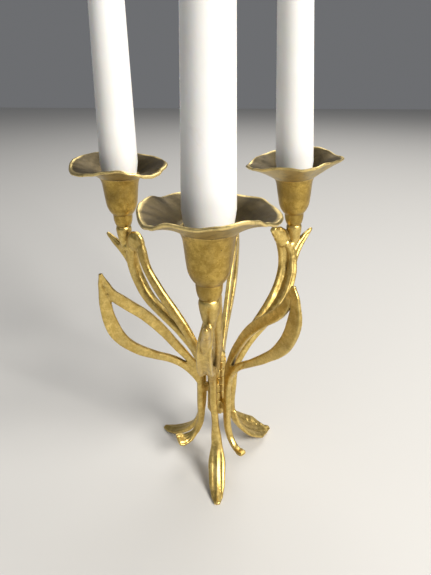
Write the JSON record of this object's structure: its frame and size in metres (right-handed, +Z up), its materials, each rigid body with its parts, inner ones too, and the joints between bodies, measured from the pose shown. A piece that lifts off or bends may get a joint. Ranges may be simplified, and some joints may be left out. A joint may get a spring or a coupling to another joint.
{
  "type": "candelabra",
  "caption": "Tabletop candelabra: cast brass arms with bell cups, lily-shaped drip pans and taper candles, and open leaf hoops, all turning on one short centre rod",
  "frame": {"origin": "on the centre rod's axis, at the height of the table that the three feet stand on", "axes": "+Z is up along the rod. The front arm points to -Y, the right arm towards +X and +Y, and the left arm towards -X and +Y."},
  "size_m": [0.1623, 0.1615, 0.4333],
  "materials": {
    "cast_brass": "satin cast brass, aged, with bright worn edges",
    "cup_brass": "satin turned brass, darkened with age, lightly pitted",
    "pan_brass": "dull olive brown patina inside, worn bright on the rim",
    "rod_brass": "satin turned brass",
    "screw_brass": "plain turned brass",
    "candle_wax": "smooth white wax, slightly translucent",
    "cotton_wick": "unburnt braided cotton"
  },
  "bodies": {
    "front_arm": {"arm_front": "cast_brass", "cup_front": "cup_brass", "drip_pan_front": "pan_brass", "cup_screw_front": "screw_brass", "center_rod": "rod_brass", "rod_cap": "rod_brass", "rod_washer": "rod_brass", "rod_nut": "rod_brass"},
    "right_arm": {"arm_right": "cast_brass", "cup_right": "cup_brass", "drip_pan_right": "pan_brass", "cup_screw_right": "screw_brass"},
    "left_arm": {"arm_left": "cast_brass", "cup_left": "cup_brass", "drip_pan_left": "pan_brass", "cup_screw_left": "screw_brass"},
    "left_leaf": {"leaf_left": "cast_brass"},
    "right_leaf": {"leaf_right": "cast_brass"},
    "back_leaf": {"leaf_back": "cast_brass"},
    "front_candle": {"candle_front": "candle_wax", "wick_front": "cotton_wick"},
    "right_candle": {"candle_right": "candle_wax", "wick_right": "cotton_wick"},
    "left_candle": {"candle_left": "candle_wax", "wick_left": "cotton_wick"}
  },
  "joints": [
    {"name": "right_arm_swivel", "type": "hinge", "parent": "front_arm", "child": "right_arm", "pos_m": [0, 0, 0.065], "axis": [0, 0, 1], "range_deg": [-15, 8]},
    {"name": "left_arm_swivel", "type": "hinge", "parent": "front_arm", "child": "left_arm", "pos_m": [0, 0, 0.065], "axis": [0, 0, 1], "range_deg": [-15, 6]},
    {"name": "left_leaf_swivel", "type": "hinge", "parent": "front_arm", "child": "left_leaf", "pos_m": [0, 0, 0.065], "axis": [0, 0, 1], "range_deg": [-8, 20]},
    {"name": "right_leaf_swivel", "type": "hinge", "parent": "front_arm", "child": "right_leaf", "pos_m": [0, 0, 0.065], "axis": [0, 0, 1], "range_deg": [-6, 20]},
    {"name": "back_leaf_swivel", "type": "hinge", "parent": "front_arm", "child": "back_leaf", "pos_m": [0, 0, 0.065], "axis": [0, 0, 1], "range_deg": [-4, 15]},
    {"name": "front_candle_lift", "type": "slide", "parent": "front_arm", "child": "front_candle", "axis": [0, 0.0227, 0.9997], "range_m": [0, 0.06]},
    {"name": "right_candle_lift", "type": "slide", "parent": "right_arm", "child": "right_candle", "axis": [-0.0818, -0.0651, 0.9945], "range_m": [0, 0.06]},
    {"name": "left_candle_lift", "type": "slide", "parent": "left_arm", "child": "left_candle", "axis": [0.0252, -0.012, 0.9996], "range_m": [0, 0.06]}
  ]
}
